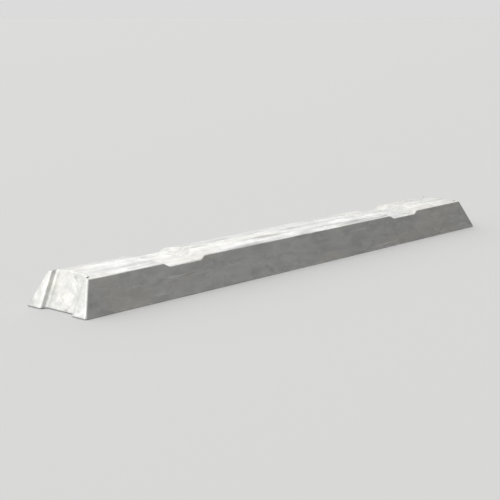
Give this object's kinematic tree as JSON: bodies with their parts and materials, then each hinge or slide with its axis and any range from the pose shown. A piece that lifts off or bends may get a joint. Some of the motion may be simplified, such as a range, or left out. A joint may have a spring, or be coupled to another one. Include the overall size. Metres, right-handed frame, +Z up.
{
  "type": "tin ingot",
  "caption": "Long tapered cast metal bar with a channel down each end and shallow cross grooves in its narrow face, made to be stacked, strapped and remelted.",
  "frame": {"origin": "middle of the plane of the wide face, on which the ingot lies", "axes": "+X along the ingot, +Y across it, +Z up from the wide face to the narrow face"},
  "size_m": [0.559, 0.0712, 0.0305],
  "materials": {
    "cast_tin": "satin"
  },
  "bodies": {
    "root": {"ingot": "cast_tin"}
  },
  "joints": []
}
